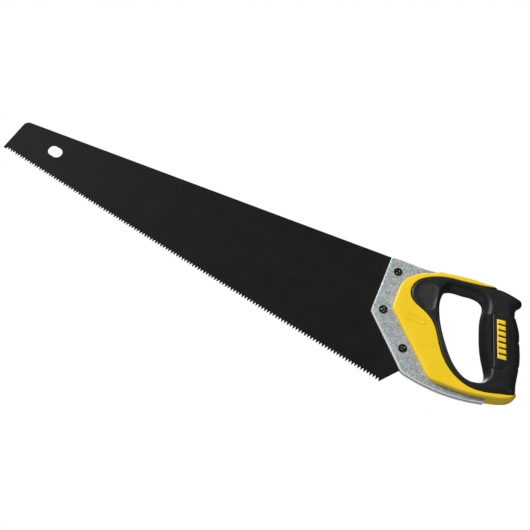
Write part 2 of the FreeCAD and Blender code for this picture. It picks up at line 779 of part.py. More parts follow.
def mark_outline():
    """Comb: a thin spine down the panel with leaning blocks on it."""
    end = MARK_START + MARK_BLOCKS * MARK_STEP - MARK_GAP
    points = [on_grip(end, MARK_SPINE), on_grip(MARK_START, MARK_SPINE)]
    for number in range(MARK_BLOCKS):
        start = MARK_START + number * MARK_STEP
        stop = start + MARK_STEP - MARK_GAP
        if number > 0:
            points.append(on_grip(start, MARK_INNER))
        points.append(on_grip(start + MARK_LEAN, MARK_OUTER))
        points.append(on_grip(stop + MARK_LEAN, MARK_OUTER))
        if number < MARK_BLOCKS - 1:
            points.append(on_grip(stop, MARK_INNER))
    return points


def make_mark(name, side):
    body = add_body(name)
    sketch = side_sketch(body, name + "_outline", side * (GRIP_HALF + dim("panel_proud")))
    add_lines(sketch, mark_outline())
    add_pad(body, name + "_bars", sketch, "Dimensions.mark_proud", reverse=side < 0)
    return body


def make_badge(name, side):
    body = add_body(name)
    sketch = side_sketch(body, name + "_outline", side * badge_floor)
    a, b, c, d, e, f = badge_points(0.0)
    add_lines(sketch, (a, b), closed=False)
    add_arc(sketch, b, c, d)
    add_lines(sketch, (d, e), closed=False)
    add_arc(sketch, e, f, a)
    add_pad(body, name + "_plate", sketch, "Dimensions.badge_thick", reverse=side < 0)
    return body


for side, word in ((1, "left"), (-1, "right")):
    make_panel("palm_panel_" + word, side)
    make_mark("panel_mark_" + word, side)
    make_badge("badge_" + word, side)
doc.recompute()

# ------------------------------------------------------------- checking

for item in doc.Objects:
    for state in item.State:
        if state in ("Invalid", "Error"):
            raise ValueError("%s is %s" % (item.Name, state))

nodes = [item for item in doc.Objects if item.TypeId == "PartDesign::Body"]
nodes += fasteners
nodes += [item for item in doc.Objects if item.TypeId == "Part::Feature"]

os.makedirs("parts", exist_ok=True)
for node in nodes:
    shape = node.Shape
    if shape.isNull() or not shape.isValid():
        raise ValueError(node.Label + " has no valid shape")
    box = shape.BoundBox
    print("%-18s solids %d  volume %10.1f  x %.1f %.1f  y %.1f %.1f  z %.1f %.1f" % (
        node.Label, len(shape.Solids), shape.Volume,
        box.XMin, box.XMax, box.YMin, box.YMax, box.ZMin, box.ZMax))
for node in nodes:
    node.Shape.exportStep("parts/%s.step" % node.Label)
print("nodes", len(nodes))
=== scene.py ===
import math

import bpy
import numpy as np
from bpy.props import FloatProperty, FloatVectorProperty, PointerProperty
from mathutils import Matrix, Vector
from mathutils.geometry import delaunay_2d_cdt


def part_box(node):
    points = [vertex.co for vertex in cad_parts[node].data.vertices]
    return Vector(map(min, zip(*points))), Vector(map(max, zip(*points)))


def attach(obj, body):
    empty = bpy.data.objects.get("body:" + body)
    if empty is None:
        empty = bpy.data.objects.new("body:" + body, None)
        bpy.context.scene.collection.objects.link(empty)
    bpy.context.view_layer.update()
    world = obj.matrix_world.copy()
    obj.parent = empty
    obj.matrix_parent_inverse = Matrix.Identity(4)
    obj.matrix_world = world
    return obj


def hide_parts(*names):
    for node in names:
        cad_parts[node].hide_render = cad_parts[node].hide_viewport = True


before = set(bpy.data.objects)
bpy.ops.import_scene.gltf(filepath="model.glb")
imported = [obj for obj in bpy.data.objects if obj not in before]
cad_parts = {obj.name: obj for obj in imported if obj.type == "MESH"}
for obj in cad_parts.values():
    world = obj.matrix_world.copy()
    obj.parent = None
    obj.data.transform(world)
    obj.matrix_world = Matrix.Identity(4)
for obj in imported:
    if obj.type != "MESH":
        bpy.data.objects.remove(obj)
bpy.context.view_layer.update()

bl_info = {
    "name": "Hand Saw",
    "version": (1, 0, 0),
    "blender": (4, 5, 0),
    "location": "3D View > Sidebar > Hand Saw",
    "description": "Builds the visible pieces of a hand saw around its packed model",
    "category": "Add Mesh",
}

# Outlines are written in millimetres as (distance behind the first tooth,
# height above the lowest tooth tips). Y is the depth through the saw, with
# the blade at 0 and the near side towards -Y.
CENTRE = 313.36
SIDES = ((-1, "left"), (1, "right"))

# blade: tooth line, keen and ground tips, gullets and front end
TEETH = 139
PITCH = 25.4 / 7.0
TOOTH_RUN = TEETH * PITCH
ARC_RISE = 1.9
TIP_HALF = 0.15
GROUND_HALF, GROUND_LIFT = 0.04, 1.15
GULLET_HALF = 0.12
FRONT, FRONT_HEIGHT = -3.0, 37.8

# rubber grip, clockwise from the thumb side: outline, its edge on the flat
# faces, and how deep the face still is at the outline (0 where it is free)
GRIP = (
    (481.9, 108.6, 485.4, 108.2, 12.4), (484.5, 118.4, 487.8, 116.8, 12.4),
    (491.3, 126.3, 493.8, 123.6, 12.4), (501.2, 133.6, 502.8, 130.4, 12.4),
    (512.0, 138.6, 513.2, 135.4, 12.4), (523.5, 142.3, 524.2, 139.2, 12.4),
    (536.0, 146.6, 536.5, 143.0, 10.5), (549.0, 151.6, 549.5, 147.4, 8.0),
    (562.0, 157.8, 561.0, 150.6, 4.0), (573.0, 160.4, 569.0, 150.5, 0.0),
    (582.0, 160.9, 574.5, 149.0, 0.0), (588.2, 159.5, 578.0, 147.0, 0.0),
    (589.8, 156.2, 579.8, 144.0, 0.0), (587.6, 151.2, 579.6, 140.5, 0.0),
    (587.4, 145.8, 580.0, 136.6, 0.0), (592.2, 138.4, 582.6, 131.0, 0.0),
    (602.4, 126.2, 589.5, 119.6, 0.0), (606.4, 118.8, 593.4, 112.4, 0.0),
    (615.4, 102.2, 602.2, 96.6, 0.0), (619.2, 92.4, 606.0, 88.6, 0.0), (625.4, 72.6, 612.4, 71.4, 0.0),
    (627.6, 63.0, 614.4, 64.4, 5.0), (618.5, 56.2, 611.6, 58.2, 11.0), (604.0, 48.9, 602.6, 52.6, 12.4),
    (586.0, 43.6, 586.0, 47.2, 12.4), (571.5, 44.6, 572.6, 48.0, 12.4),
    (557.5, 49.8, 559.2, 52.8, 12.4), (545.0, 58.4, 547.4, 60.8, 12.4),
    (532.0, 72.4, 534.6, 74.6, 12.4), (521.0, 83.4, 523.0, 86.4, 12.4),
    (508.0, 89.6, 509.2, 92.9, 12.4), (494.0, 92.8, 495.6, 96.0, 12.4),
    (485.4, 98.2, 488.2, 100.4, 12.4),
)

# hand hole: outline and how far its edge flares
HOLE = (
    (513.2, 121.0, 7.0), (513.9, 127.2, 6.5), (518.6, 131.4, 6.0), (531.8, 135.5, 6.0),
    (544.0, 138.7, 6.0), (551.9, 137.0, 7.0), (556.3, 131.0, 9.0), (558.9, 122.0, 10.0),
    (563.9, 110.0, 10.0), (571.2, 96.4, 10.0), (581.0, 81.8, 10.0), (590.2, 70.8, 8.0),
    (593.9, 64.2, 6.0), (593.0, 57.6, 4.5), (588.0, 53.5, 4.0), (581.0, 51.3, 3.5), (569.6, 53.2, 3.5),
    (557.2, 60.0, 3.5), (544.3, 71.2, 3.5), (531.8, 84.4, 3.5), (521.8, 98.2, 4.0), (515.8, 110.0, 5.5),
)

# yellow moulding: how far in its edge is rounded, how deep, and the points
# of the outline where that holds
SHELL = (
    (2.6, 5.0, (497.2, 138.8)),
    (3.4, 8.0, (503.5, 142.1), (512.0, 145.6), (523.0, 149.3), (535.0, 152.8), (548.0, 155.6),
     (557.0, 157.2), (562.4, 155.4), (565.0, 149.0)),
    (1.8, 1.8, (566.0, 120.0), (582.0, 80.0), (610.0, 68.0)),
    (4.2, 9.0, (624.6, 66.6), (629.5, 63.6), (629.2, 60.0)),
    (2.4, 3.0, (625.6, 55.8)),
    (1.8, 1.8, (618.6, 51.3), (610.0, 46.9), (602.0, 43.4), (594.0, 40.1), (584.0, 36.8), (570.0, 33.4),
     (558.0, 31.0), (549.6, 29.8), (543.4, 31.4), (535.0, 36.8), (524.0, 44.0), (508.0, 54.6),
     (492.0, 65.2), (482.0, 72.0), (476.6, 76.4), (474.4, 82.0), (472.8, 90.0), (471.0, 100.0),
     (471.0, 106.6), (473.6, 115.0), (479.6, 123.2), (488.4, 130.6), (495.0, 135.4)),
)

# raised lines on each cheek, with their widths: two long ones square to the
# fence, and a short scale of ticks between them
GUIDE_LINES = (
    ((454.6, 104.6), (468.6, 107.3), 0.9), ((458.2, 84.2), (470.6, 86.6), 0.9),
    ((455.6, 100.6), (460.4, 101.5), 0.7), ((456.3, 96.9), (463.6, 98.3), 0.7),
    ((457.0, 93.2), (461.8, 94.1), 0.7), ((457.7, 89.5), (465.0, 90.9), 0.7),
)

SCREWS = {"top": (460.3, 116.6), "mid": (468.9, 70.5), "low": (507.8, 44.3)}
SCREW_TURNS = (28.0, 61.0, 12.0)

# pitch of the chequering on the finger side, and its two slants
CHEQUER = 2.4
SLANT = 0.8

# width of the ribbed rim beside the hand hole
RIM_WIDTH = 4.4

# notches across the back of the palm rest
BACK_NOTCHES = ((590.6, 140.6), (606.9, 117.7), (618.6, 92.6))

PANEL_HEAD = np.array((567.2, 126.0))
GRIP_DOWN = np.array((0.4747, -0.8801))
GRIP_OUT = np.array((0.8801, 0.4747))
BADGE_AT = np.array((503.2, 77.0))
BADGE_SLOPE = math.radians(12.0)
WHITE = (1.0, 1.0, 1.0, 1.0)


# --- settings

def length(name, description, default):
    return FloatProperty(name=name, description=description, default=default, unit="LENGTH")


def paint(name, description, default):
    return FloatVectorProperty(name=name, description=description, default=default, subtype="COLOR")


class SAW_PG_blade(bpy.types.PropertyGroup):
    """Blade"""
    thickness: length("Thickness", "Coated sheet steel", 0.001)
    tooth_depth: length("Tooth depth", "Tip to gullet", 0.0038)
    tooth_set: length("Tooth set", "Sideways bend of each tip", 0.00022)
    coating: paint("Coating", "Low-friction black coating", (0.0105, 0.0100, 0.0092))


class SAW_PG_cheeks(bpy.types.PropertyGroup):
    """Cast cheeks"""
    alloy: paint("Alloy", "Tumbled cast aluminium", (0.285, 0.315, 0.325))
    line_height: length("Line height", "Raised guide lines", 0.0005)


class SAW_PG_handle(bpy.types.PropertyGroup):
    """Yellow moulding"""
    half_thickness: length("Half thickness", "Blade plane to face", 0.014)
    yellow: paint("Yellow", "Moulded plastic", (0.765, 0.515, 0.011))


class SAW_PG_grip(bpy.types.PropertyGroup):
    """Rubber grip"""
    half_thickness: length("Half thickness", "Blade plane to face", 0.0155)
    dish_radius: length("Thumb rest radius", "Dished area", 0.0125)
    dish_depth: length("Thumb rest depth", "Depth of the dish", 0.0014)
    panel_rise: length("Palm panel rise", "Panel above the grip", 0.0008)
    rib_pitch: length("Rib pitch", "Ribs round the loop", 0.0020)
    rubber: paint("Rubber", "Overmoulded rubber", (0.0082, 0.0094, 0.0100))
    # painted highlight: the thumb rests get a lighter copy of the grip's rubber, standing in for light on their
    # dish
    thumb_painted_light: paint("Thumb rest", "Greyer rubber of the thumb rests", (0.0190, 0.0215, 0.0200))


class SAW_PG_fasteners(bpy.types.PropertyGroup):
    """Screws and nuts"""
    head_radius: length("Head radius", "Screw and nut heads", 0.00475)
    recess_span: length("Recess span", "Cross recess, end to end", 0.0056)
    recess_depth: length("Recess depth", "Cross recess", 0.0014)
    steel: paint("Steel", "Blackened steel", (0.012, 0.012, 0.012))


class SAW_PG_stage(bpy.types.PropertyGroup):
    """Floor, lights and camera"""
    floor_drop: length("Floor drop", "Floor below the teeth", 0.60)
    lens: FloatProperty(name="Lens", description="Focal length in millimetres", default=58.8, unit="CAMERA")
    camera_at: FloatVectorProperty(name="Camera place", description="In the row frame",
                                   default=(0.23384, -0.86998, -0.26423), subtype="TRANSLATION", unit="LENGTH")
    floor_colour: paint("Floor", "Plain pale floor", (0.72, 0.72, 0.72))


# --- outline helpers

def mm(metres):
    return metres * 1000.0


def unit(value):
    """The value held between 0 and 1."""
    return np.clip(value, 0.0, 1.0)


def bell(gap, width):
    return np.exp(-(gap / width) ** 2)


def spin(angle):
    return np.array(((math.cos(angle), -math.sin(angle)), (math.sin(angle), math.cos(angle))))


def smooth_loop(points, step):
    """Smooth closed curve through the points, and for each of its spots how
    far along the points it is."""
    knots = np.array(points, float)
    count = len(knots)
    ahead = np.roll(knots, -1, axis=0)
    span = np.linalg.norm(ahead - knots, axis=1)
    system = np.zeros((count, count))
    pull = np.zeros((count, 2))
    for i in range(count):
        system[i, i - 1] += span[i - 1]
        system[i, i] += 2.0 * (span[i - 1] + span[i])
        system[i, (i + 1) % count] += span[i]
        pull[i] = 6.0 * ((ahead[i] - knots[i]) / span[i] - (knots[i] - knots[i - 1]) / span[i - 1])
    bend = np.linalg.solve(system, pull)
    spots, marks = [], []
    for i in range(count):
        pieces = max(2, round(span[i] / step))
        for k in range(pieces):
            t = k / pieces
            a = 1.0 - t
            cubic = (a ** 3 - a) * bend[i] + (t ** 3 - t) * bend[(i + 1) % count]
            spots.append(a * knots[i] + t * ahead[i] + span[i] ** 2 / 6.0 * cubic)
            marks.append(i + t)
    return np.array(spots), np.array(marks)


def along(values, marks):
    """A loop's values, one for each of its points, read at the marks."""
    ring = np.append(values, values[0])
    return np.interp(marks, np.arange(len(ring)), ring)


def travel(loop):
    """How far along the loop each of its points is, and its whole length."""
    closed = np.vstack((loop, loop[:1]))
    return np.append(0.0, np.cumsum(np.linalg.norm(np.diff(closed, axis=0), axis=1)))


def resample(loop, step):
    """The same loop with evenly spaced spots; corners stay within half a step."""
    far = travel(loop)
    stops = np.linspace(0.0, far[-1], max(2, round(far[-1] / step) + 1))[:-1]
    closed = np.vstack((loop, loop[:1]))
    return np.stack([np.interp(stops, far, closed[:, k]) for k in (0, 1)], axis=1)


def rounded_corners(corners, radii):
    """Closed polygon with tangent arcs at its corners."""
    corners = np.array(corners, float)
    outline = []
    for i, corner in enumerate(corners):
        back = corners[i - 1] - corner
        ahead = corners[(i + 1) % len(corners)] - corner
        back /= np.linalg.norm(back)
        ahead /= np.linalg.norm(ahead)
        half = math.acos(np.clip(back @ ahead, -1.0, 1.0)) / 2.0
        middle = (back + ahead) / np.linalg.norm(back + ahead)
        centre = corner + middle * radii[i] / math.sin(half)
        start = corner + back * radii[i] / math.tan(half) - centre
        stop = corner + ahead * radii[i] / math.tan(half) - centre
        turn = math.atan2(start[0] * stop[1] - start[1] * stop[0], start @ stop)
        outline += [centre + spin(turn * k / 8) @ start for k in range(9)]
    return np.array(outline)


def stadium(ends, level, radius, step):
    """Clockwise slot shape; each end is (place, degrees where its arc starts)."""
    turns = [(end, math.radians(start - a)) for end, start in ends for a in range(0, 181, step)]
    return np.array([(end + radius * math.cos(turn), level + radius * math.sin(turn)) for end, turn in turns])


def outward(loop):
    """Unit normals of a clockwise loop, pointing away from what it encloses."""
    run = np.roll(loop, -1, axis=0) - np.roll(loop, 1, axis=0)
    run /= np.linalg.norm(run, axis=1)[:, None]
    return np.stack((-run[:, 1], run[:, 0]), axis=1)


def on_grip(down, out):
    """Spot on the grip: distance down it and out towards the palm."""
    return tuple(PANEL_HEAD + GRIP_DOWN * down + GRIP_OUT * out)


def inside(spots, loop, *holes):
    """Which spots the loop encloses and none of the holes does."""
    x, z = spots.T
    hit = np.zeros(len(spots), bool)
    for (ax, az), (bx, bz) in zip(loop, np.roll(loop, -1, axis=0)):
        if az != bz:
            hit ^= ((az > z) != (bz > z)) & (x < (bx - ax) * (z - az) / (bz - az) + ax)
    for hole in holes:
        hit &= ~inside(spots, hole)
    return hit


def chunks(spots):
    return np.array_split(spots, max(1, len(spots) // 1500))


def distance(spots, line, closed=True):
    """Distance of each spot to a line, and how far along its points the
    nearest place is."""
    start = line if closed else line[:-1]
    run = (np.roll(line, -1, axis=0) if closed else line[1:])[:len(start)] - start
    square = np.maximum((run ** 2).sum(axis=1), 1e-12)
    gaps, marks = [], []
    for part in chunks(spots):
        away = part[:, None] - start[None]
        share = unit((away * run).sum(axis=2) / square)
        gap = np.linalg.norm(away - share[..., None] * run, axis=2)
        best = gap.argmin(axis=1)
        rows = np.arange(len(part))
        gaps.append(gap[rows, best])
        marks.append(best + share[rows, best])
    return np.concatenate(gaps), np.concatenate(marks)


def eased_distance(spots, loop, *values):
    """Distance to a loop that has no crease half-way between two of its
    sides, and the loop's values blended the same way."""
    run = np.linalg.norm(np.roll(loop, -1, axis=0) - loop, axis=1)
    reach = (run + np.roll(run, 1)) / 2.0
    table = np.stack(values, axis=1)
    soft, blended = [], []
    for part in chunks(spots):
        square = ((part[:, None] - loop[None]) ** 2).sum(axis=2)
        weight = reach / np.maximum(square, 0.6) ** 4
        total = weight.sum(axis=1)
        # beside a straight line this sum over 1 / gap ** 8 gives the gap back
        soft.append((total / 0.98175) ** (-1.0 / 7.0))
        blended.append(weight @ table / total[:, None])
    soft, blended = np.concatenate(soft), np.concatenate(blended)
    exact = distance(spots, loop)[0]
    share = unit((exact - 1.0) / 2.5)
    share = share * share * (3.0 - 2.0 * share)
    return [exact + (soft - exact) * share, *blended.T]


def quarter(gap, width, foot=0.0):
    """Rise along a quarter ellipse from foot to 1 across a width."""
    share = unit(gap / width)
    return foot + (1.0 - foot) * np.sqrt(np.maximum(1.0 - (1.0 - share) ** 2, 0.0))


def round_shares(*degrees):
    """Shares of a rounding's width where its surface has turned that far."""
    return [1.0 - math.cos(math.radians(a)) for a in degrees]


def rings(loop, widths, shares, side):
    """Spots beside a loop at shares of its widths; side 1 is outside it."""
    normals = outward(loop) * side
    return np.vstack([loop + normals * np.reshape(widths * share, (-1, 1)) for share in shares])


def thin_out(spots, least):
    """Spots without those that share a cell of the given size."""
    cells = np.round(spots / least).astype(int)
    keep = np.unique(cells, axis=0, return_index=True)[1]
    return spots[np.sort(keep)]


def hex_grid(low, high, step):
    """Spots on a triangular grid over a box."""
    rows = []
    for number, z in enumerate(np.arange(low[1], high[1], step * 0.866)):
        x = np.arange(low[0] + (number % 2) * step / 2.0, high[0], step)
        rows.append(np.stack((x, np.full(len(x), z)), axis=1))
    return np.vstack(rows)


def fill(outer, holes, seams=(), dots=()):
    """Triangles inside the outer loop and outside the holes, with the seams
    kept as edges and the dots as corners."""
    spots, edges = [], []
    for loop in (outer, *holes, *seams):
        first, count = len(spots), len(loop)
        spots += [Vector(spot) for spot in loop]
        edges += [(first + k, first + (k + 1) % count) for k in range(count)]
    spots += [Vector(dot) for dot in dots]
    found = delaunay_2d_cdt(spots, edges, [], 0, 1e-4)
    corners = np.array([tuple(spot) for spot in found[0]])
    triangles = np.array([face for face in found[2] if len(face) == 3])
    a, b, c = (corners[triangles[:, k]] for k in range(3))
    area = (b[:, 0] - a[:, 0]) * (c[:, 1] - a[:, 1]) - (b[:, 1] - a[:, 1]) * (c[:, 0] - a[:, 0])
    flip = area < 0
    triangles[flip] = triangles[flip][:, ::-1]
    triangles = triangles[np.abs(area) > 1e-7]
    return corners, triangles[inside(corners[triangles].mean(axis=1), outer, *holes)]


# --- mesh helpers

def add_piece(name, body, finish, stands_for, crease):
    """Mesh piece riding on the saw. body is its spots in millimetres, its
    faces, and numbers per spot that are stored by name for the finish."""
    spots, faces, values = body
    spots = np.array(spots, float)
    spots[:, 0] -= CENTRE
    mesh = bpy.data.meshes.new(name)
    mesh.from_pydata((spots * 0.001).tolist(), [], [tuple(int(k) for k in face) for face in faces])
    for word, numbers in values.items():
        layer = mesh.attributes.new(word, "FLOAT", "POINT")
        layer.data.foreach_set("value", np.asarray(numbers, np.float32))
    mesh.validate(clean_customdata=False)
    mesh.shade_smooth()
    mesh.set_sharp_from_angle(angle=math.radians(crease))
    mesh.materials.append(finish)
    piece = bpy.data.objects.new(name, mesh)
    bpy.context.scene.collection.objects.link(piece)
    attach(piece, "root")
    if stands_for:
        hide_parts(*stands_for)
    return piece


def relief(corners, triangles, heights, feet, sides=(-1, 1), values=None):
    """Height field over the triangles on one or both sides of the blade's
    plane. Its open border drops to the feet; where the feet are 0 the two
    sides close on each other."""
    used = np.unique(triangles)
    renumber = np.full(len(corners), -1)
    renumber[used] = np.arange(len(used))
    triangles = renumber[triangles]
    flat, heights, feet = corners[used], heights[used], feet[used]
    pairs = np.vstack((triangles[:, (0, 1)], triangles[:, (1, 2)], triangles[:, (2, 0)]))
    known = {(int(a), int(b)) for a, b in pairs}
    border = [(a, b) for a, b in known if (b, a) not in known]
    rim = sorted({k for pair in border for k in pair})
    spots, faces, origin, shared = [], [], [], {}
    for side in sides:
        first = len(spots)
        spots += [(x, side * h, z) for (x, z), h in zip(flat, heights)]
        origin += range(len(used))
        lower = {}
        for k in rim:
            if k in shared:
                lower[k] = shared[k]
                continue
            lower[k] = len(spots)
            spots.append((flat[k][0], side * feet[k], flat[k][1]))
            origin.append(k)
            if feet[k] == 0.0:
                shared[k] = lower[k]
        added = [(first + a, first + b, first + c) for a, b, c in triangles]
        added += [(first + a, lower[a], lower[b], first + b) for a, b in border
                  if heights[a] - feet[a] >= 1e-3 or heights[b] - feet[b] >= 1e-3]
        faces += added if side < 0 else [face[::-1] for face in added]
    origin = np.array(origin)
    kept = {word: np.asarray(numbers)[used][origin] for word, numbers in (values or {}).items()}
    return weld(np.array(spots), faces, kept)


def weld(spots, faces, values):
    """Joins spots that share a place and drops faces that lose an edge."""
    cells = np.round(spots / 1e-3).astype(np.int64)
    keep, back = np.unique(cells, axis=0, return_index=True, return_inverse=True)[1:]
    back = back.reshape(-1)
    joined = []
    for face in faces:
        ring = list(dict.fromkeys(int(back[k]) for k in face))
        if len(ring) > 2:
            joined.append(ring)
    return spots[keep], joined, {word: numbers[keep] for word, numbers in values.items()}


# --- finishes

class Finish:
    """One material and the few node patterns that the finishes share."""

    def __init__(self, name, roughness, metallic=0.0, specular=0.5):
        self.material = bpy.data.materials.new(name)
        self.material.use_nodes = True
        self.tree = self.material.node_tree
        self.shader = self.tree.nodes["Principled BSDF"]
        self.feed(self.shader, {"Roughness": roughness, "Metallic": metallic, "Specular IOR Level": specular})
        self.place = self.node("ShaderNodeTexCoord").outputs["Object"]
        self.bump = None

    def feed(self, node, inputs):
        """Links the inputs that are given a socket and sets the others."""
        for slot, value in inputs.items():
            if isinstance(value, bpy.types.NodeSocket):
                self.tree.links.new(value, node.inputs[slot])
            elif value is not None:
                node.inputs[slot].default_value = value

    def node(self, kind, inputs=None, **settings):
        made = self.tree.nodes.new(kind)
        for word, value in settings.items():
            setattr(made, word, value)
        self.feed(made, inputs or {})
        return made

    def stretched(self, scale, turn=(0.0, 0.0, 0.0)):
        inputs = {"Vector": self.place, "Scale": scale, "Rotation": turn}
        return self.node("ShaderNodeMapping", inputs).outputs["Vector"]

    def noise(self, scale, detail=3.0, roughness=0.55, at=None):
        inputs = {"Vector": at or self.place, "Scale": scale, "Detail": detail, "Roughness": roughness}
        return self.node("ShaderNodeTexNoise", inputs).outputs["Fac"]

    def cells(self, scale):
        inputs = {"Vector": self.place, "Scale": scale}
        return self.node("ShaderNodeTexVoronoi", inputs, feature="F1").outputs["Distance"]

    def math(self, operation, first, second=None, clamp=False):
        inputs = {0: first, 1: second}
        return self.node("ShaderNodeMath", inputs, operation=operation, use_clamp=clamp).outputs[0]

    def weighted(self, first, share, second):
        """Two patterns added with shares that make 1."""
        rest = self.math("MULTIPLY", second, round(1.0 - share, 6))
        return self.math("ADD", self.math("MULTIPLY", first, share), rest)

    def depth(self, vector):
        """Size of the vector's part through the saw."""
        parts = self.node("ShaderNodeSeparateXYZ", {0: vector})
        return self.math("ABSOLUTE", parts.outputs["Y"])

    def span(self, value, low, high, to_low=0.0, to_high=1.0):
        inputs = dict(enumerate((value, low, high, to_low, to_high)))
        return self.node("ShaderNodeMapRange", inputs, interpolation_type="SMOOTHSTEP").outputs[0]

    def stored(self, word):
        return self.node("ShaderNodeAttribute", attribute_name=word).outputs["Fac"]

    def tint(self, share, colour, *stops):
        """The colour darkened or lightened along a pattern."""
        made = self.node("ShaderNodeValToRGB", {"Fac": share})
        ramp = made.color_ramp
        while len(ramp.elements) < len(stops):
            ramp.elements.new(0.5)
        for element, (position, gain) in zip(ramp.elements, stops):
            element.position = position
            element.color = linear(colour, gain)
        return made.outputs["Color"]

    def mixed(self, share, first, second):
        # a mix node's colour sockets come after its number and vector ones
        return self.node("ShaderNodeMix", {0: share, 6: first, 7: second}, data_type="RGBA").outputs[2]

    def emboss(self, height, deep, strength):
        inputs = {"Height": height, "Distance": deep, "Strength": strength, "Normal": self.bump}
        self.bump = self.node("ShaderNodeBump", inputs).outputs["Normal"]

    def done(self, colour, roughness=None):
        self.feed(self.shader, {"Base Color": colour, "Roughness": roughness, "Normal": self.bump})
        return self.material


def linear(colour, gain=1.0):
    return (colour[0] * gain, colour[1] * gain, colour[2] * gain, 1.0)


def coated_steel(colour):
    finish = Finish("black_blade_coating", 0.60, specular=0.02)
    cloud = finish.noise(45.0, 4.0)
    drawn = finish.noise(900.0, 3.0, at=finish.stretched((0.06, 1.0, 1.0), (0.0, 0.19, 0.0)))
    speck = finish.noise(6500.0, 2.0)
    tint = finish.tint(finish.weighted(cloud, 0.5, speck), colour, (0.3, 0.80), (0.7, 1.22))
    finish.emboss(speck, 0.00004, 0.35)
    finish.emboss(drawn, 0.00003, 0.25)
    return finish.done(tint, finish.span(finish.math("ADD", cloud, drawn), 0.7, 1.3, 0.40, 0.55))


def tooth_steel(colour):
    finish = Finish("ground_tooth_steel", 0.38, metallic=0.6, specular=0.5)
    scratch = finish.noise(3000.0, 2.0, at=finish.stretched((1.0, 0.2, 1.0)))
    finish.emboss(scratch, 0.00004, 0.4)
    return finish.done(finish.tint(scratch, colour, (0.3, 1.3), (0.7, 2.6)),
                       finish.span(scratch, 0.3, 0.7, 0.32, 0.48))


def cast_alloy(colour):
    """Tumbled casting: faintly mottled faces, edges painted near-white as a painted
    highlight, and painted shade along the joint between the two cheeks."""
    finish = Finish("tumbled_cast_aluminium", 0.55, metallic=0.15, specular=0.5)
    mottle = finish.noise(520.0, 3.0, 0.75)
    shade = finish.weighted(mottle, 0.8, finish.noise(150.0, 4.0, 0.6))
    tint = finish.tint(shade, colour, (0.38, 0.68), (0.5, 1.0), (0.62, 1.55))
    # painted highlight: where the normal turns away from the blade's plane, the edges are painted near-white in
    # place of the metal's reflection
    facing = finish.depth(finish.node("ShaderNodeTexCoord").outputs["Normal"])
    tint = finish.mixed(finish.span(facing, 0.25, 0.97, 1.0, 0.0), tint, (0.92, 0.94, 0.94, 1.0))
    # painted shade: a near-black band in the blade's plane, where the two cheeks meet without a gap
    joint_shade = finish.span(finish.depth(finish.place), 0.0010, 0.0018, 0.85, 0.0)
    tint = finish.mixed(joint_shade, tint, (0.03, 0.03, 0.03, 1.0))
    finish.emboss(mottle, 0.00018, 0.45)
    finish.emboss(finish.span(finish.cells(1300.0), 0.0, 0.35), 0.00007, 0.4)
    finish.emboss(finish.noise(3600.0, 2.0), 0.00005, 0.4)
    return finish.done(tint, finish.span(shade, 0.35, 0.65, 0.62, 0.44))


def yellow_plastic(colour, name="yellow_moulded_plastic"):
    finish = Finish(name, 0.36, specular=0.35)
    tint = finish.tint(finish.noise(30.0, 3.0), colour, (0.25, 0.94), (0.75, 1.05))
    # fine parting line in the blade's plane
    finish.emboss(finish.span(finish.depth(finish.place), 0.00008, 0.00032), 0.00012, 0.8)
    finish.emboss(finish.noise(5200.0, 2.0), 0.00003, 0.3)
    return finish.done(tint, finish.span(finish.noise(160.0, 3.0), 0.3, 0.7, 0.30, 0.42))


def soft_rubber(colour, name="soft_black_rubber", gloss=0.44):
    finish = Finish(name, gloss, specular=0.26)
    tint = finish.tint(finish.noise(55.0, 3.0), colour, (0.3, 0.85), (0.7, 1.15))
    finish.emboss(finish.noise(3800.0, 3.0), 0.00005, 0.35)
    return finish.done(tint, finish.span(finish.noise(210.0, 3.0), 0.3, 0.7, gloss - 0.05, gloss + 0.07))


def pattern_with_painted_light(finish, raised, colour, low, high):
    """The rest of a rubber whose grooves get painted shade and whose raised pattern gets a painted highlight.
    """
    # painted shade in the grooves and painted highlight on the raised parts, both scaled from the rubber's
    # colour
    tint = finish.tint(raised, colour, (0.0, low), (1.0, high))
    finish.emboss(raised, 0.0001, 0.5)
    finish.emboss(finish.noise(3800.0, 3.0), 0.00005, 0.3)
    return finish.done(tint, finish.span(finish.noise(300.0, 2.0), 0.3, 0.7, 0.48, 0.60))


def ribbed_rubber(colour, pitch):
    """Fine ribs across the loop's inner rim."""
    finish = Finish("ribbed_black_rubber", 0.52, specular=0.25)
    wave = finish.math("SINE", finish.math("MULTIPLY", finish.stored("run"), 2.0 * math.pi / pitch))
    # ribs painted from 0.4 to 2.6 times the rubber's colour: painted shade between them, painted highlight on
    # them
    return pattern_with_painted_light(finish, finish.span(wave, -0.55, 0.55), colour, 0.40, 2.60)


def chequered_rubber(colour):
    """Small raised diamonds on the finger side of the grip."""
    finish = Finish("chequered_black_rubber", 0.66, specular=0.07)
    run, reach = finish.stored("run"), finish.stored("reach")
    waves = []
    for sign in ("ADD", "SUBTRACT"):
        slant = finish.math(sign, run, finish.math("MULTIPLY", reach, SLANT))
        turn = finish.math("MULTIPLY", slant, math.pi / (CHEQUER * 0.001))
        waves.append(finish.math("ABSOLUTE", finish.math("SINE", turn)))
    # diamonds painted lighter than their grooves: painted shade and painted highlight
    return pattern_with_painted_light(finish, finish.span(finish.math("MINIMUM", *waves), 0.15, 0.55), colour, 0.15, 1.3)


def blackened_steel(colour):
    finish = Finish("blackened_screw_steel", 0.40, metallic=0.6, specular=0.3)
    wear = finish.noise(900.0, 2.0, 0.6)
    share = finish.math("MULTIPLY", finish.span(wear, 0.50, 0.56), finish.stored("worn"), clamp=True)
    finish.emboss(wear, 0.00012, 0.4)
    return finish.done(finish.mixed(share, linear(colour), (0.75, 0.75, 0.73, 1.0)),
                       finish.span(wear, 0.3, 0.7, 0.30, 0.48))


# --- blade

def tip_height(x):
    """Height of the tooth tips, which lie on a shallow arc."""
    return ARC_RISE * (2.0 * x / TOOTH_RUN - 1.0) ** 2


def pair(x, half, z):
    return [(x - half, z), (x + half, z)]


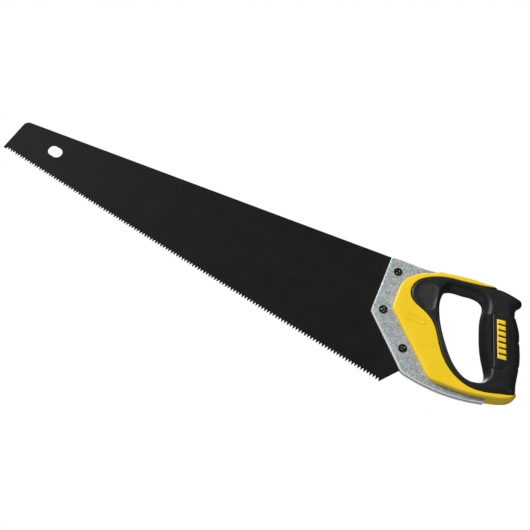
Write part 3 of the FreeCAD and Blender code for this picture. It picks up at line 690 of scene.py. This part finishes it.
def blade_outlines(depth):
    """The blade's outline on its near and far faces, counter-clockwise with
    the same points, and which of them are tooth tips set to each side."""
    near, far, lean = [], [], []

    def add(spots, others=None, side=0):
        near.extend(spots)
        far.extend(others or spots)
        lean.extend([side] * len(spots))

    add([(FRONT, tip_height(FRONT)), (TIP_HALF, tip_height(TIP_HALF))])
    for number in range(TEETH):
        middle = (number + 0.5) * PITCH
        add(pair(middle, GULLET_HALF, tip_height(middle) + depth - GULLET_HALF))
        tip = (number + 1) * PITCH
        if number < TEETH - 1:
            keen = pair(tip, TIP_HALF, tip_height(tip))
            ground = pair(tip, GROUND_HALF, tip_height(tip) + GROUND_LIFT)
            if number % 2 == 0:
                add(keen, ground, 1)
            else:
                add(ground, keen, -1)
    add([(tip - TIP_HALF, tip_height(tip))])
    add([(504.8, tip_height(504.8)), (518.2, 26.0), (519.0, 44.0), (512.0, 56.5), (476.0, 84.0),
         (474.0, 105.0), (470.0, 126.5), (446.9, 123.6), (445.4, 130.13), (3.9, 45.0)])
    turns = [math.radians(a) for a in (18, 36, 54, 72)]
    add([(3.9 - 6.9 * math.sin(turn), FRONT_HEIGHT + 7.2 * math.cos(turn)) for turn in turns])
    add([(FRONT, FRONT_HEIGHT)])
    return np.array(near), np.array(far), np.array(lean)


def build_blade(size):
    half = mm(size.thickness) / 2.0
    near, far, lean = blade_outlines(mm(size.tooth_depth))
    slot = stadium(((53.8, 90), (48.8, 270)), 30.2, 6.5, 12)
    tips = np.arange(1, TEETH) * PITCH
    dots = [np.stack((tips, tip_height(tips) + lift), axis=1) for lift in (2.6, 6.5)]
    dots = np.vstack((*dots, hex_grid((4.0, 14.0), (500.0, 120.0), 12.0)))
    dots = dots[inside(dots, near, slot)]
    dots = dots[distance(dots, slot)[0] > 1.5]
    dots = dots[(dots[:, 1] < 10.0) | (distance(dots, near)[0] > 3.0)]
    corners, triangles = fill(near, (slot,), (), dots)
    # the far face uses the same triangles with its own tooth tips
    gap, mark = distance(corners, near)
    on_edge = np.where(gap < 1e-3, np.round(mark).astype(int) % len(near), -1)
    other = corners.copy()
    other[on_edge >= 0] = far[on_edge[on_edge >= 0]]
    push = np.where(on_edge >= 0, lean[on_edge], 0) * mm(size.tooth_set)
    count = len(corners)
    spots = [(x, -half - p, z) for (x, z), p in zip(corners, push)]
    spots += [(x, half - p, z) for (x, z), p in zip(other, push)]
    faces = [tuple(face) for face in triangles]
    faces += [tuple(face[::-1] + count) for face in triangles]
    pairs = {(int(a), int(b)) for face in triangles for a, b in zip(face, np.roll(face, -1))}
    faces += [(a, a + count, b + count, b) for a, b in sorted(pairs) if (b, a) not in pairs]
    spots, faces, _ = body = weld(np.array(spots), faces, {})
    piece = add_piece("blade_steel", body, coated_steel(size.coating), ("blade",), 25.0)
    # the flanks of the teeth are bare ground steel
    piece.data.materials.append(tooth_steel(size.coating))
    for polygon, face in zip(piece.data.polygons, faces):
        low = min(spots[k][2] for k in face)
        if abs(polygon.normal.y) < 0.9 and low < 6.0 and polygon.center.x * 1000 + CENTRE < 504.0:
            polygon.material_index = 1


# --- cheeks

def depths(node):
    """How far a CAD node's two sides are from the blade's plane, in millimetres."""
    low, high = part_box(node)
    return sorted((mm(abs(low.y)), mm(abs(high.y))))


def build_cheeks(size):
    finish = cast_alloy(size.alloy)
    rise = mm(size.line_height)
    for side, word in SIDES:
        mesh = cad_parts["cheek_" + word].data
        mesh.materials.clear()
        mesh.materials.append(finish)
        mesh.shade_smooth()
        mesh.set_sharp_from_angle(angle=math.radians(35.0))
        face = depths("cheek_" + word)[1]
        spots, faces = [], []
        for start, end, wide in GUIDE_LINES:
            start, end = np.array(start), np.array(end)
            run = (end - start) / np.linalg.norm(end - start)
            over = np.array((-run[1], run[0])) * wide / 2.0
            first = len(spots)
            # each bar is sunk a little and narrows towards its top
            for lift, spread in ((-0.2, 1.35), (rise, 0.8)):
                for place, way in ((start, -1), (end, -1), (end, 1), (start, 1)):
                    x, z = place + over * (way * spread)
                    spots.append((x, side * (face + lift), z))
            for quad in [(4, 5, 6, 7)] + [(k, (k + 1) % 4, (k + 1) % 4 + 4, k + 4) for k in range(4)]:
                faces.append([first + k for k in quad][::-side])
        add_piece("cheek_lines_" + word, (spots, faces, {}), finish, (), 60.0)


# --- handle

def badge_outline(spread):
    """Outline of the oval plate on the yellow face, grown by the spread."""
    local = stadium(((7.5, 90), (-7.5, -90)), 0.0, 3.5 + spread, 15)
    return BADGE_AT + local @ spin(-BADGE_SLOPE)


def build_handle(size):
    finish = yellow_plastic(size.yellow)
    face = mm(size.half_thickness)
    rows = [(spot, inset, deep) for inset, deep, *spots in SHELL for spot in spots]
    shell, marks = smooth_loop([row[0] for row in rows], 1.0)
    bend, deep = (along([row[k] for row in rows], marks) for k in (1, 2))
    grip = smooth_loop([row[:2] for row in GRIP], 1.0)[0]
    seat = badge_outline(0.15)
    grid = hex_grid(shell.min(axis=0), shell.max(axis=0), 2.2)
    gap, mark = distance(grid, shell)
    grid = grid[(gap > along(bend, mark) + 0.8) & (distance(grid, grip)[0] > 1.4)]
    shares = round_shares(12, 26, 40, 54, 68, 82, 90) + [1.35]
    dots = thin_out(np.vstack((rings(shell, bend, shares, -1), rings(grip, 1.0, (0.12, 0.3, 0.55, 1.2), 1),
                               badge_outline(0.6), badge_outline(0.9), grid)), 0.3)
    dots = dots[inside(dots, shell, grip, badge_outline(0.4))]
    dots = dots[(distance(dots, shell)[0] > 0.03) & (distance(dots, grip)[0] > 0.06)]
    corners, triangles = fill(shell, (grip, seat), (), dots)
    edge, mark = distance(corners, shell)
    heights = face - along(deep, mark) * (1.0 - quarter(edge, along(bend, mark)))
    heights -= 0.5 * (1.0 - quarter(distance(corners, grip)[0], 0.55))
    heights -= 0.35 * (1.0 - unit(edge / 9.0)) ** 2
    feet = np.where(edge < 1e-3, 0.0, np.maximum(heights - 1.6, 0.0))
    add_piece("yellow_moulding", relief(corners, triangles, heights, feet), finish,
              ("handle_body",), 50.0)
    # the plates have a rounded rim and a slightly sunk middle
    loop = badge_outline(0.0)
    corners, triangles = fill(loop, (), [badge_outline(-step) for step in (0.3, 0.8, 1.1)])
    gap = distance(corners, loop)[0]
    heights = face + 0.16 * quarter(gap, 0.4) - 0.08 * unit((gap - 0.8) / 0.3)
    feet = np.full(len(heights), face - 0.6)
    for side, word in SIDES:
        add_piece("oval_plate_" + word, relief(corners, triangles, heights, feet, (side,)), finish,
                  ("badge_" + word,), 50.0)


# --- grip

def grip_loops():
    """Outer outline with its notches and the hand hole, with their rounding
    widths and the outer one's foot."""
    outer, marks = smooth_loop([row[:2] for row in GRIP], 0.9)
    width = along([math.dist(row[:2], row[2:4]) for row in GRIP], marks)
    foot = along([row[4] for row in GRIP], marks)
    for notch in BACK_NOTCHES:
        gap = np.linalg.norm(outer - np.array(notch), axis=1)
        outer = outer - outward(outer) * (0.9 * bell(gap, 1.3))[:, None]
    hole, marks = smooth_loop([row[:2] for row in HOLE], 0.5)
    return outer, width, foot, hole, along([row[2] for row in HOLE], marks)


def thumb_rest(radius):
    """Outline of the thumb rest, which tapers down beside the hand hole, the
    line it is hollowed along, and how much narrower it gets along it."""
    turns = np.radians(np.arange(0, 360, 6))
    spread = np.stack((np.sin(turns), np.cos(turns)), axis=1)
    line = np.array(((499.5, 110.5), (507.5, 98.0)))
    ends = [spot + spread * reach for spot, reach in zip(line, (radius - 0.6, radius - 6.4))]
    upper = (ends[0] * spread).sum(axis=1) > (ends[1] * spread).sum(axis=1)
    return resample(np.where(upper[:, None], ends[0], ends[1]), 0.9), line, 5.8


def build_grip(size):
    half = mm(size.half_thickness)
    radius = mm(size.dish_radius)
    outer, width, foot, hole, flare = grip_loops()
    dish, dish_line, taper = thumb_rest(radius)
    panel = resample(rounded_corners(
        [on_grip(*at) for at in ((0.6, 0.6), (-3.6, 9.0), (2.0, 17.4), (28.0, 20.0), (54.0, 17.4), (61.0, 9.4),
                                 (59.6, 0.6))],
        (1.2, 9.0, 5.0, 60.0, 6.0, 7.0, 1.2)), 0.9)
    strip = np.array([on_grip(*at) for at in ((1.0, 1.0), (59.2, 1.0), (63.5, -16.0), (-0.5, -16.0))])
    band = hole + outward(hole) * RIM_WIDTH
    rim_zone = np.array(((523.0, 97.0), (546.0, 100.0), (590.0, 60.0), (583.5, 45.0), (556.0, 50.0),
                         (520.0, 80.0)))

    grid = hex_grid(outer.min(axis=0), outer.max(axis=0), 1.5)
    keep = np.ones(len(grid), bool)
    for loop, reach in ((outer, width), (hole, flare)):
        gap, mark = distance(grid, loop)
        keep &= gap > np.interp(mark, np.arange(len(reach)), reach) * 0.8
    fine = hex_grid(strip.min(axis=0), strip.max(axis=0), 0.62)
    shares = round_shares(8, 16, 25, 34, 43, 52, 61, 70, 80, 90)
    dots = thin_out(np.vstack((
        rings(outer, width, shares, -1), rings(hole, flare, shares, 1),
        rings(hole, 1.0, (3.5, 3.95, 4.85, 5.3), 1), fine[inside(fine, strip, panel)],
        rings(panel, 1.0, (0.15, 0.4, 0.8, 1.3), -1), rings(panel, 1.0, (0.35, 0.8), 1), grid[keep])), 0.33)
    dots = dots[inside(dots, outer, hole)]
    dots = dots[(distance(dots, outer)[0] > 0.05) & (distance(dots, hole)[0] > 0.025)]
    dots = dots[distance(dots, panel)[0] > 0.1]
    corners, triangles = fill(outer, (hole,), (panel, strip, band, rim_zone, dish), dots)

    # rounding of both loops, then the hollows of the thumb rests
    gap_out, wide, feet = eased_distance(corners, outer, width, foot)
    gap_in, curl = eased_distance(corners, hole, flare)
    exact_in, hole_mark = distance(corners, hole)
    base = half * quarter(gap_out, wide, feet / half) * quarter(gap_in, curl)
    from_dish, dish_mark = distance(corners, dish_line, False)
    hollow = unit(1.0 - (from_dish / (radius - taper * dish_mark)) ** 6)
    base -= mm(size.dish_depth) * hollow ** 1.5 * quarter(gap_in, curl)
    # seams between the regions
    from_band = distance(corners, band[inside(band, rim_zone)], False)[0]
    from_panel = distance(corners, panel)[0]
    base -= 0.55 * bell(from_band, 0.55) * unit(base / 6.0)
    base = base - 0.14 * bell(from_panel, 0.4)
    raised = base + mm(size.panel_rise) * quarter(from_panel, 6.0)
    # distances along and across the rim of the hand hole
    far = travel(hole)
    run = np.interp(hole_mark, np.arange(len(far)), far)
    span = np.sqrt((curl ** 2 + half ** 2) / 2.0)
    reach = span * np.arccos(unit(1.0 - exact_in / curl)) + np.maximum(exact_in - curl, 0.0)
    # chequering on the finger side
    knob = np.minimum(*(np.abs(np.sin(math.pi * (run + slant * reach) / CHEQUER)) for slant in (SLANT, -SLANT)))
    knob = unit((knob - 0.15) / 0.40)
    fade = inside(corners, strip, panel) * unit(distance(corners, strip)[0] / 2.0) * unit(from_panel / 1.2)
    base += 0.32 * (knob - 0.6) * fade * unit(base / 9.0)
    # ribs round the lower part of the rim
    ridge = unit(0.5 + 0.9 * np.sin(2.0 * math.pi * run / mm(size.rib_pitch)))
    ribbed = inside(corners, rim_zone) & (inside(corners, band) | (exact_in < RIM_WIDTH))
    fade = ribbed * unit(distance(corners, rim_zone)[0] / 2.0) * unit((RIM_WIDTH - exact_in) / 1.5)
    away = outward(hole)[np.round(hole_mark).astype(int) % len(hole)]
    shifted = corners + away * (0.30 * (1.0 - ridge) * fade)[:, None]
    base = np.maximum(base, 0.0)

    middle = corners[triangles].mean(axis=1)
    in_panel = inside(middle, panel)
    in_strip = inside(middle, strip) & ~in_panel
    in_rim = inside(middle, rim_zone) & inside(middle, band) & ~in_strip
    in_dish = inside(middle, dish)
    in_body = ~(in_panel | in_strip | in_rim | in_dish)
    values = {"run": run * 0.001, "reach": reach * 0.001}
    on_border = (distance(corners, outer)[0] < 1e-3) | (exact_in < 1e-3)
    below = np.maximum(base - 1.5, 0.0)
    feet = np.where(on_border, 0.0, below)
    rubber = soft_rubber(size.rubber)
    for name, region, finish, slot, node in (
            ("grip_body", in_body, rubber, "grip_rubber", "grip_rubber"),
            ("finger_strip", in_strip, chequered_rubber(size.rubber), "textured_rubber", "finger_pad"),
            ("ribbed_rim", in_rim, ribbed_rubber(size.rubber, size.rib_pitch), "textured_rubber", "loop_rim")):
        body = relief(shifted, triangles[region], base, feet, values=values)
        add_piece(name, body, finish, (node,), 42.0)
    smooth = soft_rubber(size.rubber, "smooth_black_rubber", 0.40)
    # painted highlight: a lighter copy of the same rubber for the thumb rests
    lighter_rubber = soft_rubber(size.thumb_painted_light, "smooth_rubber_painted_lighter", 0.50)
    for side, word in SIDES:
        body = relief(shifted, triangles[in_dish], base, feet, (side,))
        add_piece("thumb_rest_" + word, body, lighter_rubber, ("thumb_pad_" + word,), 42.0)
        body = relief(corners, triangles[in_panel], raised, below, (side,))
        add_piece("palm_plate_" + word, body, smooth, ("palm_panel_" + word,), 42.0)


def build_marks(size):
    finish = yellow_plastic(size.yellow, "yellow_pattern_ink")
    bars, pitch, gap, head, lean = 7, 6.4, 2.0, 6.0, 1.6
    spine, root, tip = 4.6, 6.0, 13.6
    comb = [on_grip(head + bars * pitch - gap, spine), on_grip(head, spine)]
    for number in range(bars):
        start = head + number * pitch
        stop = start + pitch - gap
        if number > 0:
            comb.append(on_grip(start, root))
        comb += [on_grip(start + lean, tip), on_grip(stop + lean, tip)]
        if number < bars - 1:
            comb.append(on_grip(stop, root))
    loop = resample(np.array(comb), 0.5)
    inner = rings(loop, 1.0, (0.25,), -1)
    inner = inner[inside(inner, loop) & (distance(inner, loop)[0] > 0.2)]
    corners, triangles = fill(loop, (), (), inner)
    rounding = 0.22 * (1.0 - quarter(distance(corners, loop)[0], 0.25))
    for side, word in SIDES:
        low, high = depths("panel_mark_" + word)
        feet = np.full(len(corners), low - 0.3)
        add_piece("comb_pattern_" + word, relief(corners, triangles, high - rounding, feet, (side,)), finish,
                  ("panel_mark_" + word,), 60.0)


# --- fasteners

def cross_outline(span, bar):
    """Plus shape, counter-clockwise."""
    a, b = span / 2.0, bar / 2.0
    return np.array(((b, -a), (b, -b), (a, -b), (a, b), (b, b), (b, a), (-b, a), (-b, b), (-a, b), (-a, -b),
                     (-b, -b), (-b, -a)))


def build_fasteners(size):
    finish = blackened_steel(size.steel)
    radius, recess, span = mm(size.head_radius), mm(size.recess_depth), mm(size.recess_span)
    turns = np.radians(np.arange(0, 360, 7.5))
    circle = np.stack((np.cos(turns), np.sin(turns)), axis=1)
    rounds = [circle * radius * share for share in (1.0, 0.985, 0.94, 0.88, 0.78, 0.68)]
    for (word, centre), twist in zip(SCREWS.items(), SCREW_TURNS):
        turn = spin(math.radians(twist)).T
        for side, kind in ((-1, "screw"), (1, "nut")):
            node = kind + "_" + word
            if kind == "screw":
                seams = [cross_outline(span, 1.6) @ turn, cross_outline(span - 1.3, 0.9) @ turn]
            else:
                seams = [circle * 1.6, circle * 1.25]
            corners, triangles = fill(rounds[0], (), rounds[1:] + seams)
            reach = np.linalg.norm(corners, axis=1)
            heights = depths(node)[1] - 0.45 * (1.0 - quarter(radius - reach, radius * 0.22))
            heights -= 0.12 * (reach / radius) ** 2
            if kind == "screw":
                sunk = inside(corners * 0.999, seams[1]) | (distance(corners, seams[1])[0] < 1e-3)
                heights -= np.where(sunk, recess, 0.0)
                worn = unit((2.9 - reach) / 0.3) * np.where(sunk, 0.0, 1.0)
            else:
                heights -= np.where(reach < 1.3, 0.5, 0.0)
                worn = unit((2.3 - reach) / 0.3) * 0.7
            body = relief(corners + np.array(centre), triangles, heights, np.full(len(corners), 3.3), (side,),
                          {"worn": worn})
            add_piece(kind + "_head_" + word, body, finish, (node,), 35.0)


# --- stage

def add_softbox(name, place, target, width, height, watts):
    light = bpy.data.lights.new(name, "AREA")
    light.shape = "RECTANGLE"
    light.size, light.size_y = width, height
    light.energy = watts
    lamp = bpy.data.objects.new(name, light)
    lamp.location = place
    lamp.rotation_euler = (Vector(target) - Vector(place)).to_track_quat("-Z", "Y").to_euler()
    lamp.visible_camera = False
    bpy.context.scene.collection.objects.link(lamp)


def add_camera(scene, size):
    camera = bpy.data.cameras.new("camera")
    camera.sensor_width = 36.0
    camera.lens = size.lens
    camera.clip_start, camera.clip_end = 0.05, 20.0
    right = Vector((0.83158, 0.00577, 0.55537))
    up = Vector((-0.50786, -0.39688, 0.76457))
    back = right.cross(up).normalized()
    up = back.cross(right).normalized()
    turn = Matrix((right.normalized(), up, back)).transposed().to_4x4()
    eye = bpy.data.objects.new("camera", camera)
    eye.matrix_world = Matrix.Translation(size.camera_at) @ turn
    scene.collection.objects.link(eye)
    scene.camera = eye


def add_floor(scene, size):
    """Pale floor that runs out into the white backdrop."""
    mesh = bpy.data.meshes.new("floor")
    reach = 2.3
    steps = np.linspace(-reach, reach, 5)
    faces = [(r * 5 + c, r * 5 + c + 1, r * 5 + c + 6, r * 5 + c + 5) for r in range(4) for c in range(4)]
    mesh.from_pydata([(x, y, -size.floor_drop) for y in steps for x in steps], [], faces)
    finish = Finish("pale_floor", 0.9, specular=0.1)
    away = finish.node("ShaderNodeVectorMath", {0: finish.place}, operation="LENGTH")
    fade = finish.span(away.outputs["Value"], 0.9, reach)
    # the white is for the camera only, so it does not light the saw
    seen = finish.node("ShaderNodeLightPath").outputs["Is Camera Ray"]
    glow = finish.math("MULTIPLY", fade, seen)
    finish.feed(finish.shader, {"Emission Color": WHITE, "Emission Strength": glow})
    pale = finish.tint(finish.noise(14.0, 4.0), size.floor_colour, (0.3, 0.985), (0.7, 1.0))
    mesh.materials.append(finish.done(finish.mixed(fade, pale, (0.0, 0.0, 0.0, 1.0))))
    floor = bpy.data.objects.new("floor", mesh)
    scene.collection.objects.link(floor)


def add_backdrop(scene):
    """White where the camera looks, and a faint cool fill light on the saw."""
    scene.world = world = bpy.data.worlds.new("studio")
    world.use_nodes = True
    nodes, links = world.node_tree.nodes, world.node_tree.links
    backdrop, fill_light = nodes["Background"], nodes.new("ShaderNodeBackground")
    for made, colour, strength in ((backdrop, WHITE, 1.0), (fill_light, (0.93, 0.97, 1.0, 1.0), 0.09)):
        made.inputs["Color"].default_value = colour
        made.inputs["Strength"].default_value = strength
    path = nodes.new("ShaderNodeLightPath")
    either = nodes.new("ShaderNodeMixShader")
    links.new(path.outputs["Is Camera Ray"], either.inputs[0])
    links.new(fill_light.outputs[0], either.inputs[1])
    links.new(backdrop.outputs[0], either.inputs[2])
    links.new(either.outputs[0], nodes["World Output"].inputs[0])


def build_stage(size):
    scene = bpy.context.scene
    scene.view_settings.view_transform = "Standard"
    scene.view_settings.look = "None"
    add_camera(scene, size)
    add_floor(scene, size)
    add_backdrop(scene)
    middle = (0.1, 0.0, 0.08)
    add_softbox("softbox_key", (-2.4, -2.2, 0.55), middle, 1.6, 1.4, 155.0)
    add_softbox("softbox_high", (0.3, -1.3, 1.6), middle, 0.8, 0.6, 4.0)
    add_softbox("softbox_right", (1.7, -0.9, 0.3), (0.2, 0.0, 0.08), 0.5, 0.9, 4.5)
    add_softbox("softbox_back", (-1.0, 1.4, 1.6), middle, 1.4, 1.2, 46.0)


# --- operators and panel

class SAW_OT_blade(bpy.types.Operator):
    """Build the coated blade with its ground and set teeth"""
    bl_idname = "saw.blade"
    bl_label = "Blade"

    def execute(self, context):
        build_blade(context.scene.saw_blade)
        return {"FINISHED"}


class SAW_OT_cheeks(bpy.types.Operator):
    """Finish the two cast cheeks and add their raised guide lines"""
    bl_idname = "saw.cheeks"
    bl_label = "Cheeks"

    def execute(self, context):
        build_cheeks(context.scene.saw_cheeks)
        return {"FINISHED"}


class SAW_OT_handle(bpy.types.Operator):
    """Build the yellow moulding with its blank oval plates"""
    bl_idname = "saw.handle"
    bl_label = "Yellow moulding"

    def execute(self, context):
        build_handle(context.scene.saw_handle)
        return {"FINISHED"}


class SAW_OT_grip(bpy.types.Operator):
    """Build the rubber grip: its body, thumb rests, finger strip, ribbed rim
    and palm panels"""
    bl_idname = "saw.grip"
    bl_label = "Rubber grip"

    def execute(self, context):
        build_grip(context.scene.saw_grip)
        return {"FINISHED"}


class SAW_OT_marks(bpy.types.Operator):
    """Build the raised comb pattern on both palm panels"""
    bl_idname = "saw.marks"
    bl_label = "Palm pattern"

    def execute(self, context):
        build_marks(context.scene.saw_handle)
        return {"FINISHED"}


class SAW_OT_fasteners(bpy.types.Operator):
    """Build the cross-recess screws and the sleeve nuts behind them"""
    bl_idname = "saw.fasteners"
    bl_label = "Screws and nuts"

    def execute(self, context):
        build_fasteners(context.scene.saw_fasteners)
        return {"FINISHED"}


class SAW_OT_stage(bpy.types.Operator):
    """Set up the floor, the studio light and the camera"""
    bl_idname = "saw.stage"
    bl_label = "Stage"

    def execute(self, context):
        build_stage(context.scene.saw_stage)
        return {"FINISHED"}


class SAW_PT_panel(bpy.types.Panel):
    """Hand saw pieces"""
    bl_idname = "SAW_PT_panel"
    bl_label = "Hand Saw"
    bl_space_type = "VIEW_3D"
    bl_region_type = "UI"
    bl_category = "Hand Saw"

    def draw(self, context):
        for word, _, operators in GROUPS:
            box = self.layout.box()
            group = getattr(context.scene, word)
            for name in group.__annotations__:
                box.prop(group, name)
            for kind in operators:
                box.operator(kind.bl_idname)


GROUPS = (
    ("saw_blade", SAW_PG_blade, (SAW_OT_blade,)),
    ("saw_cheeks", SAW_PG_cheeks, (SAW_OT_cheeks,)),
    ("saw_handle", SAW_PG_handle, (SAW_OT_handle,)),
    ("saw_grip", SAW_PG_grip, (SAW_OT_grip, SAW_OT_marks)),
    ("saw_fasteners", SAW_PG_fasteners, (SAW_OT_fasteners,)),
    ("saw_stage", SAW_PG_stage, (SAW_OT_stage,)),
)


def register():
    for word, group, operators in GROUPS:
        bpy.utils.register_class(group)
        setattr(bpy.types.Scene, word, PointerProperty(type=group))
        for operator in operators:
            bpy.utils.register_class(operator)
    bpy.utils.register_class(SAW_PT_panel)


def unregister():
    bpy.utils.unregister_class(SAW_PT_panel)
    for word, group, operators in reversed(GROUPS):
        for operator in operators:
            bpy.utils.unregister_class(operator)
        delattr(bpy.types.Scene, word)
        bpy.utils.unregister_class(group)


def main():
    register()
    bpy.ops.saw.blade()
    bpy.ops.saw.cheeks()
    bpy.ops.saw.handle()
    bpy.ops.saw.grip()
    bpy.ops.saw.marks()
    bpy.ops.saw.fasteners()
    bpy.ops.saw.stage()


if __name__ == "__main__":
    main()
